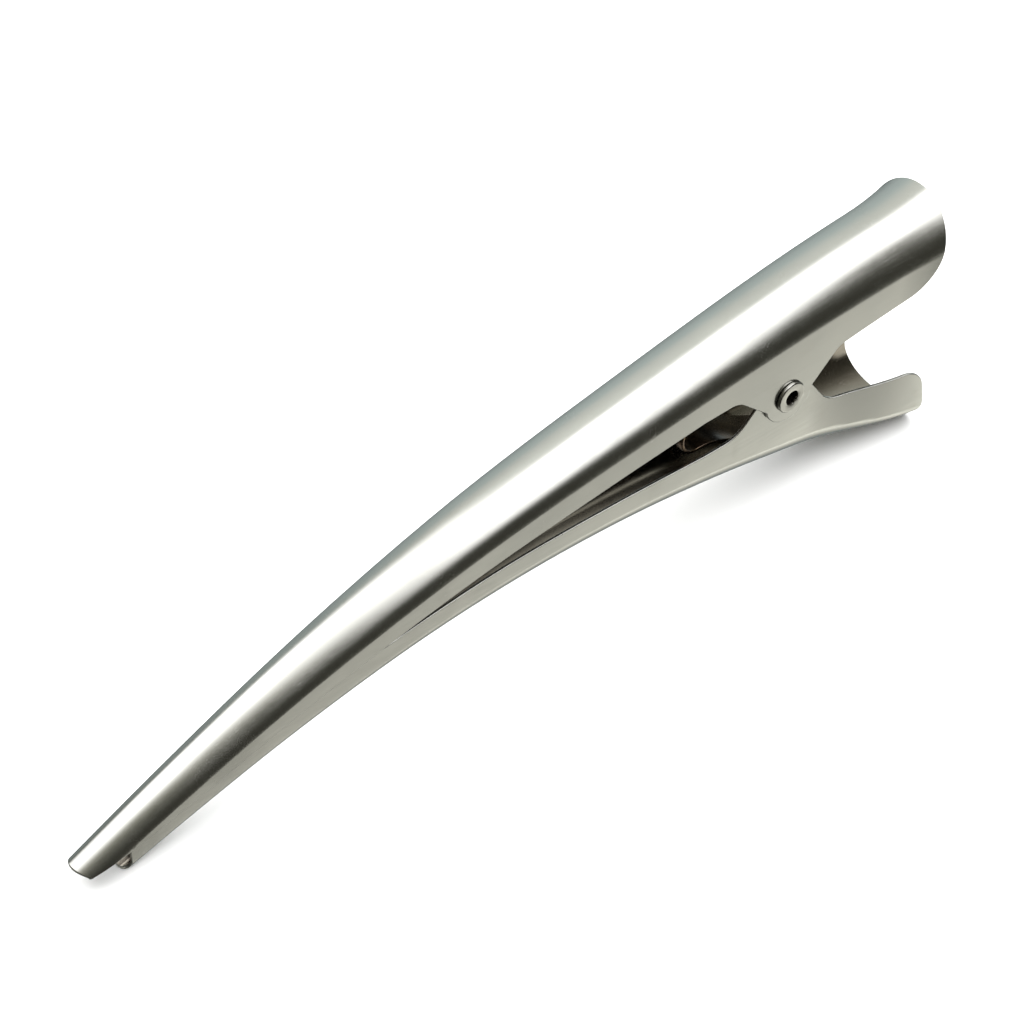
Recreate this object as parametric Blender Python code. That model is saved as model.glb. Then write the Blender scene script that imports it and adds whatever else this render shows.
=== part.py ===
"""Sectioning clip: two long jaws pressed from steel sheet, hinged on one tubular rivet.

The upper jaw is a rounded arch with a straight flange along each side, and the lower jaw is
a round-cornered channel that closes up inside it. Behind the rivet each jaw carries on as a
finger handle, and a bent leaf spring inside pushes the handles apart, so the jaws stay shut.

The jaws are drawn about the rivet: x runs back to the handles, y across and z up. The whole
clip is then set down so that it stands on its tip and its lower handle.
"""

import math

import bmesh
import bpy
import numpy as np
from mathutils import Matrix, Vector

MM = 0.001

# Sheet and fits
SHEET = 0.4 * MM  # thickness of both jaws
NEST_GAP = 0.15 * MM  # side gap between the lower jaw and the upper jaw around it
RIVET_GAP = 0.04 * MM  # all round the rivet in its holes, and under its heads
SPRING_GAP = 0.1 * MM  # between the leaf spring and the jaw that it pushes on

# Lengths from the rivet
UPPER_TIP = 106.2 * MM
TIP_STEP = 5.7 * MM  # how much shorter the lower jaw is
PAD_END = 25.7 * MM  # at the height of the bend line
HANDLE_END = 24.0 * MM
LOWER_TIP = UPPER_TIP - TIP_STEP

# Upper jaw, as (x, value) points in millimetres: its half width, the height of the line where
# its arch meets its flanges, and the height of the flanges' lower edge
UPPER_HALF_WIDTHS = ((-107, 2.15), (-85, 2.85), (-54, 3.95), (-12, 5.15), (17, 5.85), (28, 6.05))
UPPER_BEND_LINE = (
    (-107, -13.7), (-93, -8.5), (-76, -2.9), (-51, 3.05), (-20, 7.0), (8, 9.4), (28, 9.9),
)
UPPER_FLANGE_EDGE = (
    (-108, -12.8), (-102, -12.1), (-90, -9.3), (-73, -4.7), (-50, 0.0), (-30, 2.4), (-14, 3.85),
)
PAD_FLARE = 0.5 * MM  # how much wider the pad turns out at its end
PAD_FLARE_LENGTH = 7 * MM
PAD_EDGE, PAD_EDGE_END = 3.7 * MM, 5.2 * MM  # height of its flange edge at the ear and the end
PAD_CORNER = 6.0 * MM
PAD_LEAN = 0.18  # slope of the end, whose top is farther back
TIP_FULLNESS = 0.175 * MM  # the tip's radius, seen from above, over its half width
PAD_FILLET = 2.0 * MM  # where the ear runs into the pad's edge

# Ears: a lobe round the rivet between two straight edges. Each edge has a slope in degrees
# and passes the rivet's axis at its reach.
UPPER_LOBE = 3.9 * MM
UPPER_EAR_FRONT, UPPER_FRONT_REACH = 43, 3.2 * MM
UPPER_EAR_BACK, UPPER_BACK_REACH = 43, 2.9 * MM
UPPER_FRONT_FILLET = 3.2 * MM  # where the flange edge turns down into the ear

# Lower jaw: the height of the line where its round bottom meets its walls, and of the walls'
# upper edge
LOWER_BEND_LINE = (
    (-101, -14.7), (-92, -12.1), (-75, -7.8), (-56, -4.6), (-42, -3.8),
    (-24, -4.6), (-11, -6.4), (2, -9.0), (14, -11.55), (26, -13.9),
)
LOWER_EDGE = (
    (-102, -12.6), (-85, -7.6), (-70, -4.2), (-60, -2.75), (-47, -1.55), (-28, -1.75), (-13, -2.65),
)
BOTTOM_ROUND = 0.67  # depth of the round bottom, as a share of the half width
BOTTOM_FLAT = 0.24  # half width of the flat along its middle, as a share of the half width
LOWER_TIP_FULLNESS = 0.295 * MM
HANDLE_FLARE = 1.9 * MM  # how much wider the lower handle is at its end
HANDLE_FLARE_START = 4 * MM
HANDLE_EDGE, HANDLE_EDGE_END = -5.3 * MM, -7.8 * MM
HANDLE_LEAN = 0.15  # slope of the end, whose bottom is farther back
HANDLE_CORNER = 4.2 * MM
LOWER_LOBE = 4.0 * MM
LOWER_EAR_FRONT, LOWER_FRONT_REACH = 44, 3.85 * MM
LOWER_EAR_BACK, LOWER_BACK_REACH = 56, 3.2 * MM
LOWER_FRONT_FILLET = 5.0 * MM
LOWER_BACK_FILLET = 4.0 * MM

# Rivet
RIVET_BORE = 0.9 * MM
RIVET_BODY = 1.5 * MM
RIVET_HEAD = 2.35 * MM
HEAD_HEIGHT = 0.36 * MM
HEAD_ROUND = 0.2 * MM
COUNTERSINK = 0.12 * MM

# Leaf spring
SPRING_WIDTH = 6.4 * MM
SPRING_THICKNESS = 0.45 * MM
LOOP_CENTRE = (-13.5 * MM, 0.2 * MM)
LOOP_RADIUS = 2.6 * MM
LOWER_LEG_END = 4.5 * MM
UPPER_LEG_END = 13.0 * MM

# Fineness of the solids
ARCH_SEGMENTS = 16
STATION_STEP = 4 * MM
FLARED_STEP = 1.5 * MM
ARC_STEP = 12  # degrees of an arc in an outline
TURNED_STEPS = 40
BLANK_MARGIN = 1 * MM  # how far an uncut sheet runs past its outline
BLANK_FLANGE = 14.5 * MM  # height of the uncut flanges
CUTTER_REACH = 12 * MM

FINISHES = {  # colour, roughness, metallic
    "satin_steel": ((0.62, 0.61, 0.57), 0.3, 1.0),
    "rivet_steel": ((0.70, 0.69, 0.65), 0.22, 1.0),
    "spring_steel": ((0.34, 0.32, 0.29), 0.38, 1.0),
}


def curve_through(points):
    """A smooth curve through (x, value) points given in millimetres, as a function in metres."""
    xs, values = np.array(points, float).T * MM
    slopes = np.gradient(values, xs)

    def value_at(x):
        x = np.clip(x, xs[0], xs[-1])
        i = int(np.clip(np.searchsorted(xs, x) - 1, 0, len(xs) - 2))
        span = xs[i + 1] - xs[i]
        s = (x - xs[i]) / span
        ends = (1 + 2 * s) * (1 - s) ** 2 * values[i] + s * s * (3 - 2 * s) * values[i + 1]
        turns = s * (1 - s) ** 2 * slopes[i] - s * s * (1 - s) * slopes[i + 1]
        return ends + span * turns

    return value_at


def flare(x, start, length):
    """0 before start, then rising to 1 over the length, level at both ends."""
    s = float(np.clip((x - start) / length, 0, 1))
    return s * s * (3 - 2 * s)


straight_half_width = curve_through(UPPER_HALF_WIDTHS)
upper_bend = curve_through(UPPER_BEND_LINE)
upper_edge = curve_through(UPPER_FLANGE_EDGE)
lower_bend = curve_through(LOWER_BEND_LINE)
lower_edge = curve_through(LOWER_EDGE)


def upper_half_width(x):
    into_flare = max(0.0, 1 - (PAD_END - x) / PAD_FLARE_LENGTH)
    return straight_half_width(x) + PAD_FLARE * into_flare**2


def lower_half_width(x):
    nested = straight_half_width(x) - SHEET - NEST_GAP
    length = HANDLE_END - HANDLE_FLARE_START
    return nested + HANDLE_FLARE * flare(x, HANDLE_FLARE_START, length)


def upper_section(x, inset):
    """Half of the upper jaw's cross-section from the top of the arch: (y, z) points."""
    radius, bend = upper_half_width(x) - inset, upper_bend(x)
    turns = np.linspace(0, math.pi / 2, ARCH_SEGMENTS // 2 + 1)
    arch = [(radius * math.sin(a), bend + radius * math.cos(a)) for a in turns]
    return arch + [(radius, bend - BLANK_FLANGE)]


def lower_section(x, inset):
    """Half of the lower jaw's cross-section from the bottom of the channel."""
    width, bend = lower_half_width(x), lower_bend(x)
    flat = BOTTOM_FLAT * width
    across, depth = width - flat - inset, BOTTOM_ROUND * width - inset
    turns = np.linspace(0, math.pi / 2, ARCH_SEGMENTS // 2 + 1)
    bottom = [(flat + across * math.sin(a), bend - depth * math.cos(a)) for a in turns]
    return [(0, bend - depth)] + bottom + [(width - inset, bend + BLANK_FLANGE)]


def whole_section(half):
    """The half section with its mirror image in front of it, from side to side."""
    return [(-y, z) for y, z in reversed(half[1:])] + half


def stations(start, flare_start, end):
    """Places along the jaw where its section is taken, closer together in the flared part."""
    straight = np.linspace(start, flare_start, 1 + round((flare_start - start) / STATION_STEP))
    flared = np.linspace(flare_start, end, 1 + math.ceil((end - flare_start) / FLARED_STEP))
    return list(straight) + list(flared[1:])


def object_from(name, bm, finish=None):
    bmesh.ops.recalc_face_normals(bm, faces=bm.faces)
    mesh = bpy.data.meshes.new(name)
    bm.to_mesh(mesh)
    bm.free()
    piece = bpy.data.objects.new(name, mesh)
    bpy.context.scene.collection.objects.link(piece)
    if finish:
        mesh.materials.append(material_of(finish))
    return piece


def material_of(finish):
    material = bpy.data.materials.get(finish) or bpy.data.materials.new(finish)
    colour, roughness, metallic = FINISHES[finish]
    material.use_nodes = True
    shader = material.node_tree.nodes["Principled BSDF"]
    shader.inputs["Base Color"].default_value = (*colour, 1)
    shader.inputs["Roughness"].default_value = roughness
    shader.inputs["Metallic"].default_value = metallic
    return material


def swept_sheet(name, section, places):
    """A sheet of the jaw's thickness whose section follows the jaw, before it is cut out."""
    bm = bmesh.new()
    rings = []
    for x in places:
        outer = whole_section(section(x, 0))
        inner = whole_section(section(x, SHEET))
        rings.append([[bm.verts.new((x, y, z)) for y, z in side] for side in (outer, inner)])
    for (outer_a, inner_a), (outer_b, inner_b) in zip(rings, rings[1:]):
        for i in range(len(outer_a) - 1):
            bm.faces.new((outer_a[i], outer_b[i], outer_b[i + 1], outer_a[i + 1]))
            bm.faces.new((inner_a[i], inner_a[i + 1], inner_b[i + 1], inner_b[i]))
        for i in (0, -1):
            bm.faces.new((outer_a[i], outer_b[i], inner_b[i], inner_a[i]))
    for outer, inner in (rings[0], rings[-1]):
        for i in range(len(outer) - 1):
            bm.faces.new((outer[i], outer[i + 1], inner[i + 1], inner[i]))
    return object_from(name, bm, "satin_steel")


def prism(name, outline, along, reach):
    """A cutter: an outline of (x, other) points drawn out along y or z, both ways."""
    bm = bmesh.new()
    place = {"y": lambda x, v, w: (x, w, v), "z": lambda x, v, w: (x, v, w)}[along]
    ends = [[bm.verts.new(place(x, v, w)) for x, v in outline] for w in (-reach, reach)]
    for end in ends:
        bm.faces.new(end)
    for i in range(len(outline)):
        j = (i + 1) % len(outline)
        bm.faces.new((ends[0][i], ends[0][j], ends[1][j], ends[1][i]))
    return as_cutter(object_from(name, bm))


def as_cutter(piece):
    piece.hide_render = True
    piece.display_type = "WIRE"
    return piece


def boolean(piece, cutter, operation):
    modifier = piece.modifiers.new(cutter.name, "BOOLEAN")
    modifier.operation = operation
    modifier.object = cutter
    modifier.solver = "EXACT"


def arc(centre, radius, start, end):
    """Points of an arc, with its angles in degrees."""
    steps = max(2, math.ceil(abs(end - start) / ARC_STEP))
    angles = np.radians(np.linspace(start, end, steps + 1))
    return [(centre[0] + radius * math.cos(a), centre[1] + radius * math.sin(a)) for a in angles]


def rounded(before, corner, after, radius):
    """The arc that rounds off the corner between two straight lines."""
    corner = Vector(corner)
    back, on = (Vector(before) - corner).normalized(), (Vector(after) - corner).normalized()
    half = back.angle(on) / 2
    centre = corner + (back + on).normalized() * (radius / math.sin(half))
    start, end = (corner + way * (radius / math.tan(half)) - centre for way in (back, on))
    turn = math.degrees(start.angle_signed(end))
    first = math.degrees(math.atan2(start.y, start.x))
    return arc(centre, radius, first, first - turn)


def sampled(curve, start, end):
    return [(x, curve(x)) for x in np.linspace(start, end, 1 + round((end - start) / STATION_STEP))]


def edge_line(slope, reach, side, height):
    """Where an ear's straight edge is at a height. The ear is below the rivet if the side is
    -1 and above it if +1, and a positive reach is behind the rivet."""
    across, up = math.sin(math.radians(slope)), math.cos(math.radians(slope)) * side
    return math.copysign((abs(reach) - up * height) / across, reach)


def lobe_angle(slope, reach, radius):
    """Angle from the straight down (or up) line to where the ear's edge meets its lobe."""
    return slope + math.degrees(math.acos(reach / radius))


def pad_end(height):
    return PAD_END + PAD_LEAN * (height - upper_bend(PAD_END))


def upper_outline():
    """Side view of the upper jaw: flange edge, ear lobe round the rivet, and the pad."""
    top = upper_bend(PAD_END) + BLANK_FLANGE
    low_end = (pad_end(PAD_EDGE_END), PAD_EDGE_END)
    high_end = (pad_end(top), top)
    far = UPPER_TIP + BLANK_MARGIN
    front_start = -14 * MM
    level = upper_edge(front_start)
    front_x = edge_line(UPPER_EAR_FRONT, -UPPER_FRONT_REACH, -1, level)
    back_x = edge_line(UPPER_EAR_BACK, UPPER_BACK_REACH, -1, PAD_EDGE)
    front_turn = lobe_angle(UPPER_EAR_FRONT, UPPER_FRONT_REACH, UPPER_LOBE)
    back_turn = lobe_angle(UPPER_EAR_BACK, UPPER_BACK_REACH, UPPER_LOBE)
    lobe = arc((0, 0), UPPER_LOBE, -90 - front_turn, -90 + back_turn)
    return (
        [(-far, top), (-far, upper_edge(-far))]
        + sampled(upper_edge, -UPPER_TIP, front_start)
        + rounded((front_start, level), (front_x, level), lobe[0], UPPER_FRONT_FILLET)
        + lobe
        + rounded(lobe[-1], (back_x, PAD_EDGE), low_end, PAD_FILLET)
        + rounded((back_x, PAD_EDGE), low_end, high_end, PAD_CORNER)
        + [high_end]
    )


def handle_end(height):
    return HANDLE_END - HANDLE_LEAN * (height - lower_bend(HANDLE_END))


def lower_outline():
    """Side view of the lower jaw, whose ear reaches up inside the upper one."""
    deep = lower_bend(HANDLE_END) - BLANK_FLANGE
    high_end, low_end = (handle_end(HANDLE_EDGE_END), HANDLE_EDGE_END), (handle_end(deep), deep)
    far = LOWER_TIP + BLANK_MARGIN
    front_start = -13 * MM
    level = lower_edge(front_start)
    front_x = edge_line(LOWER_EAR_FRONT, -LOWER_FRONT_REACH, 1, level)
    back_x = edge_line(LOWER_EAR_BACK, LOWER_BACK_REACH, 1, HANDLE_EDGE)
    front_turn = lobe_angle(LOWER_EAR_FRONT, LOWER_FRONT_REACH, LOWER_LOBE)
    back_turn = lobe_angle(LOWER_EAR_BACK, LOWER_BACK_REACH, LOWER_LOBE)
    lobe = arc((0, 0), LOWER_LOBE, 90 + front_turn, 90 - back_turn)
    return (
        [(-far, deep), (-far, lower_edge(-far))]
        + sampled(lower_edge, -LOWER_TIP, front_start)
        + rounded((front_start, level), (front_x, level), lobe[0], LOWER_FRONT_FILLET)
        + lobe
        + rounded(lobe[-1], (back_x, HANDLE_EDGE), high_end, LOWER_BACK_FILLET)
        + rounded((back_x, HANDLE_EDGE), high_end, low_end, HANDLE_CORNER)
        + [low_end]
    )


def plan_outline(tip, fullness, half_width):
    """Top view: a rounded tip, cut a little flatter than full round, and straight behind."""
    radius = half_width + fullness
    spread = math.degrees(math.asin(half_width / radius)) + 8
    nose = arc((radius - tip, 0), radius, 180 + spread, 180 - spread)
    back = pad_end(upper_bend(PAD_END) + BLANK_FLANGE) + BLANK_MARGIN
    wide = CUTTER_REACH
    return [(nose[0][0] + wide, -wide)] + nose + [(nose[0][0] + wide, wide), (back, wide), (back, -wide)]


def rivet_hole():
    bm = bmesh.new()
    bmesh.ops.create_cone(
        bm,
        cap_ends=True,
        segments=TURNED_STEPS,
        radius1=RIVET_BODY + RIVET_GAP,
        radius2=RIVET_BODY + RIVET_GAP,
        depth=2 * CUTTER_REACH,
        matrix=Matrix.Rotation(math.pi / 2, 4, "X"),
    )
    return as_cutter(object_from("rivet_hole_cut", bm))


def jaw(name, section, places, outline, plan, hole):
    """A jaw: the bent sheet, cut to its side view and top view, with the rivet's holes."""
    piece = swept_sheet(name, section, places)
    boolean(piece, prism(name + "_side_cut", outline, "y", CUTTER_REACH), "INTERSECT")
    boolean(piece, prism(name + "_plan_cut", plan, "z", 4 * CUTTER_REACH), "INTERSECT")
    boolean(piece, hole, "DIFFERENCE")
    return piece


def upper_jaw(hole):
    places = stations(
        -UPPER_TIP - BLANK_MARGIN, PAD_END - PAD_FLARE_LENGTH, PAD_END + 2 * BLANK_MARGIN
    )
    plan = plan_outline(UPPER_TIP, TIP_FULLNESS, upper_half_width(-UPPER_TIP))
    return jaw("upper_jaw", upper_section, places, upper_outline(), plan, hole)


def lower_jaw(hole):
    places = stations(-LOWER_TIP - BLANK_MARGIN, HANDLE_FLARE_START, HANDLE_END + 3 * BLANK_MARGIN)
    plan = plan_outline(LOWER_TIP, LOWER_TIP_FULLNESS, lower_half_width(-LOWER_TIP))
    return jaw("lower_jaw", lower_section, places, lower_outline(), plan, hole)


def rivet_profile():
    """One end of the rivet's section, as (radius, y): lead-in of the bore, rolled rim, seat."""
    seat = upper_half_width(RIVET_HEAD) + RIVET_GAP
    face = seat + HEAD_HEIGHT
    rim = arc((RIVET_HEAD - HEAD_ROUND, face - HEAD_ROUND), HEAD_ROUND, 90, 0)
    lead_in = arc((RIVET_BORE + COUNTERSINK, face - COUNTERSINK), COUNTERSINK, 180, 90)
    return lead_in + rim + [(RIVET_HEAD, seat), (RIVET_BODY, seat)]


def pivot_rivet():
    """A tube through all four ears, with its ends rolled out into round heads."""
    end = rivet_profile()
    profile = end + [(r, -y) for r, y in reversed(end)]
    bm = bmesh.new()
    rings = []
    for step in range(TURNED_STEPS):
        a = 2 * math.pi * step / TURNED_STEPS
        rings.append([bm.verts.new((r * math.cos(a), y, r * math.sin(a))) for r, y in profile])
    for a, b in zip(rings, rings[1:] + rings[:1]):
        for i in range(len(profile)):
            j = (i + 1) % len(profile)
            bm.faces.new((a[i], a[j], b[j], b[i]))
    return object_from("pivot_rivet", bm, "rivet_steel")


def leg_height(x, side):
    """Height of the spring's middle line where its leg lies against a jaw: side 1 is the
    arch above, -1 the bottom of the channel."""
    half = SPRING_WIDTH / 2
    if side > 0:
        radius = upper_half_width(x) - SHEET
        wall = upper_bend(x) + math.sqrt(radius**2 - half**2)
    else:
        width = lower_half_width(x)
        flat = BOTTOM_FLAT * width
        across, depth = width - flat - SHEET, BOTTOM_ROUND * width - SHEET
        wall = lower_bend(x) - depth * math.sqrt(1 - ((half - flat) / across) ** 2)
    return wall - side * (SPRING_GAP + SPRING_THICKNESS / 2)


def leg(start, end, side):
    """A leg of the spring, level where it leaves the loop and along the jaw at its end."""
    ahead = 1 * MM
    slope = (leg_height(end, side) - leg_height(end - ahead, side)) / ahead
    a = np.array(start)
    d = np.array((end, leg_height(end, side)))
    reach = (d[0] - a[0]) / 3
    b, c = a + (reach, 0), d - (reach, reach * slope)
    points = []
    for t in np.linspace(0, 1, 13):
        s = 1 - t
        points.append(tuple(s**3 * a + 3 * s * s * t * b + 3 * s * t * t * c + t**3 * d))
    return points


def leaf_spring():
    """A bent strip: its loop is ahead of the rivet and a leg lies against each jaw."""
    loop = arc(LOOP_CENTRE, LOOP_RADIUS, 270, 90)
    lower = leg(loop[0], LOWER_LEG_END, -1)
    upper = leg(loop[-1], UPPER_LEG_END, 1)
    path = [Vector(p) for p in lower[:0:-1] + loop + upper[1:]]
    bm = bmesh.new()
    rings = []
    for i, point in enumerate(path):
        way = (path[min(i + 1, len(path) - 1)] - path[max(i - 1, 0)]).normalized()
        off = Vector((-way.y, way.x)) * (SPRING_THICKNESS / 2)
        corners = [(point + off, 1), (point + off, -1), (point - off, -1), (point - off, 1)]
        rings.append([bm.verts.new((p.x, y * SPRING_WIDTH / 2, p.y)) for p, y in corners])
    for a, b in zip(rings, rings[1:]):
        for i in range(4):
            j = (i + 1) % 4
            bm.faces.new((a[i], a[j], b[j], b[i]))
    bm.faces.new(rings[0])
    bm.faces.new(rings[-1])
    return object_from("leaf_spring", bm, "spring_steel")


def corners_of(pieces):
    """Every corner of the finished pieces, in the scene."""
    bpy.context.view_layer.update()
    graph = bpy.context.evaluated_depsgraph_get()
    found = []
    for piece in pieces:
        evaluated = piece.evaluated_get(graph)
        found += [evaluated.matrix_world @ v.co for v in evaluated.data.vertices]
    return np.array(found)


def set_down(pieces):
    """Tilts the clip until its tip and its lower handle are level, and puts the middle of its
    foot at the scene's origin."""
    stand = bpy.data.objects.new("stand", None)
    bpy.context.scene.collection.objects.link(stand)
    for piece in bpy.data.objects:
        if piece != stand:
            piece.parent = stand
    points = corners_of(pieces)
    tilt = 0.0
    for _ in range(6):
        turned = points @ np.array(Matrix.Rotation(tilt, 3, "Y")).T
        front = turned[turned[:, 0] < 0]
        rear = turned[turned[:, 0] > 0]
        a, b = (side[side[:, 2].argmin()] for side in (front, rear))
        tilt += math.atan2(b[2] - a[2], b[0] - a[0])
    turned = points @ np.array(Matrix.Rotation(tilt, 3, "Y")).T
    low, high = turned.min(axis=0), turned.max(axis=0)
    stand.rotation_euler.y = tilt
    stand.location = (-(low[0] + high[0]) / 2, 0, -low[2])


def main():
    for old in list(bpy.data.objects):
        bpy.data.objects.remove(old)
    hole = rivet_hole()
    pieces = [upper_jaw(hole), lower_jaw(hole), pivot_rivet(), leaf_spring()]
    for piece in pieces:
        piece.data.shade_smooth()
        piece.data.set_sharp_from_angle(angle=math.radians(35))
    set_down(pieces)


main()
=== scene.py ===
"""Sectioning clip for hair, finished for a studio view.

The two jaws are pressed from thin sheet. Each is laid out flat as a blank with a rounded edge
all round, filled with a fine net, and bent to the jaw's section. The rivet is turned, with the
torn lip that rolling leaves, and the leaf spring is a bent strip of tempered steel.
"""

import logging
import math
from dataclasses import dataclass, field, replace
from enum import Enum

import bmesh
import bpy
import numpy as np
from mathutils import Matrix, Vector, geometry


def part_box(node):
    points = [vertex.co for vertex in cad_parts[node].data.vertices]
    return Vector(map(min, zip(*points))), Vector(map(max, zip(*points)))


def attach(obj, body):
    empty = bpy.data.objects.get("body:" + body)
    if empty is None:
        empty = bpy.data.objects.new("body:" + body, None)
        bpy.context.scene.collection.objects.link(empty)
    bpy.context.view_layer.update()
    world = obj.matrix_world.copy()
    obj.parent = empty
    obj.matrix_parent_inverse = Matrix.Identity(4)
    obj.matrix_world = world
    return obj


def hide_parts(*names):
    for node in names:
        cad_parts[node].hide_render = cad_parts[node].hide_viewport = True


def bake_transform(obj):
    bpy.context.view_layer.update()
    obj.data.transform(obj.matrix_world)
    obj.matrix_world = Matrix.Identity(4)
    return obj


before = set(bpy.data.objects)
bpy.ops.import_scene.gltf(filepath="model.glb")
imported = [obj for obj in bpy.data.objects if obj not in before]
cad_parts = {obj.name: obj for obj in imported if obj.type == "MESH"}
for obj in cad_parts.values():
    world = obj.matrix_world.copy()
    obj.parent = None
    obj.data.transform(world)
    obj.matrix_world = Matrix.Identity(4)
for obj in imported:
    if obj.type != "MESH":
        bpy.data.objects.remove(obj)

LOG = logging.getLogger("sectioning_clip")
MM = 0.001
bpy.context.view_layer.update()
PROBE = 0.02 * MM
EDGE_TURNS = (0, 30, 60, 90)
SHARP = math.radians(50)


class Body(Enum):
    """The two bodies that the hinge joins."""

    LOWER = "lower"
    UPPER = "upper"


class Slot(Enum):
    """The record's material slots."""

    JAW = "satin_steel"
    RIVET = "rivet_steel"
    SPRING = "spring_steel"


@dataclass(frozen=True)
class Curve:
    """A smooth curve through a few (x, value) points in millimetres."""

    points: tuple[tuple[float, float], ...]

    def at(self, x: np.ndarray) -> np.ndarray:
        """Reads the curve.

        Args:
            x: Places along the clip, in metres.

        Returns:
            The curve's value at each place, in metres.
        """
        xs, values = np.array(self.points, float).T * MM
        slopes = np.gradient(values, xs)
        x = np.clip(x, xs[0], xs[-1])
        i = np.clip(np.searchsorted(xs, x) - 1, 0, len(xs) - 2)
        span = xs[i + 1] - xs[i]
        s = (x - xs[i]) / span
        ends = (1 + 2 * s) * (1 - s) ** 2 * values[i] + s * s * (3 - 2 * s) * values[i + 1]
        turns = s * (1 - s) ** 2 * slopes[i] - s * s * (1 - s) * slopes[i + 1]
        return ends + span * turns


def flare(x: np.ndarray, start: float, length: float) -> np.ndarray:
    """Rises smoothly from 0 to 1.

    Args:
        x: Places along the clip.
        start: Where the rise begins.
        length: How long it takes.

    Returns:
        The share risen at each place.
    """
    s = np.clip((x - start) / length, 0, 1)
    return s * s * (3 - 2 * s)


def arc(centre: tuple[float, float], radius: float, start: float, end: float) -> np.ndarray:
    """Lays points along an arc.

    Args:
        centre: The arc's centre.
        radius: Its radius.
        start: Its first angle, in degrees.
        end: Its last angle, in degrees.

    Returns:
        The arc's points, one row each.
    """
    steps = max(3, math.ceil(abs(end - start) / 5))
    a = np.radians(np.linspace(start, end, steps + 1))
    return np.stack([centre[0] + radius * np.cos(a), centre[1] + radius * np.sin(a)], 1)


def rounded(before: np.ndarray, corner: np.ndarray, after: np.ndarray, radius: float) -> np.ndarray:
    """Rounds off the corner between two straight lines.

    Args:
        before: A point on the line that comes in.
        corner: Where the two lines meet.
        after: A point on the line that goes out.
        radius: The radius of the corner.

    Returns:
        The points of the corner's arc.
    """
    corner = Vector(corner)
    back, on = (Vector(before) - corner).normalized(), (Vector(after) - corner).normalized()
    half = back.angle(on) / 2
    centre = corner + (back + on).normalized() * (radius / math.sin(half))
    start, end = (corner + way * (radius / math.tan(half)) - centre for way in (back, on))
    turn = math.degrees(start.angle_signed(end))
    first = math.degrees(math.atan2(start.y, start.x))
    return arc(tuple(centre), radius, first, first - turn)


def evenly(points: np.ndarray, step: float) -> np.ndarray:
    """Adds points so that no stretch of an outline is longer than a step.

    Args:
        points: The outline's points, in order round it.
        step: The longest stretch to leave.

    Returns:
        The fuller outline.
    """
    full = []
    for a, b in zip(points, np.roll(points, -1, axis=0)):
        parts = max(1, math.ceil(np.linalg.norm(b - a) / step))
        full += [a + (b - a) * k / parts for k in range(parts)]
    return np.array(full)


def inward(loop: np.ndarray) -> np.ndarray:
    """Finds which way the sheet lies from each point of an outline with the sheet on its left.

    Args:
        loop: The outline's points.

    Returns:
        A vector at each point, as long as keeps an offset outline parallel.
    """
    ahead = np.roll(loop, -1, axis=0) - loop
    ahead /= np.linalg.norm(ahead, axis=1, keepdims=True)
    behind = np.roll(ahead, 1, axis=0)
    left = np.stack([-(ahead + behind)[:, 1], (ahead + behind)[:, 0]], 1)
    left /= np.linalg.norm(left, axis=1, keepdims=True)
    straight = left[:, 0] * -ahead[:, 1] + left[:, 1] * ahead[:, 0]
    return left / np.clip(straight, 0.7, 1)[:, None]


def inside(points: np.ndarray, loops: list[np.ndarray]) -> np.ndarray:
    """Tells which points lie on the sheet.

    Args:
        points: The points to test.
        loops: The sheet's outline and its holes.

    Returns:
        True for each point inside the outline and outside the holes.
    """
    found = np.zeros(len(points), bool)
    for loop in loops:
        for a, b in zip(loop, np.roll(loop, -1, axis=0)):
            crosses = (a[1] > points[:, 1]) != (b[1] > points[:, 1])
            if crosses.any():
                at = a[0] + (points[:, 1] - a[1]) * (b[0] - a[0]) / (b[1] - a[1])
                found ^= crosses & (points[:, 0] < at)
    return found


def unit(vectors: np.ndarray) -> np.ndarray:
    """Returns the vectors at length 1."""
    return vectors / np.maximum(np.linalg.norm(vectors, axis=1, keepdims=True), 1e-12)


@dataclass
class Ear:
    """One side of an ear round the rivet: a straight edge that passes the axis at its reach."""

    slope: float
    reach: float

    def x_at(self, side: int, height: float) -> float:
        """Finds the edge's place at a height.

        Args:
            side: -1 for an ear that hangs below the rivet's axis, 1 for one that stands above.
            height: The height, from the axis.

        Returns:
            The place along the clip.
        """
        across, up = math.sin(math.radians(self.slope)), math.cos(math.radians(self.slope)) * side
        return math.copysign((abs(self.reach) - up * height) / across, self.reach)

    def turn(self, lobe: float) -> float:
        """Returns how far round the lobe of that radius the edge starts, in degrees."""
        return self.slope + math.degrees(math.acos(abs(self.reach) / lobe))


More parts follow.
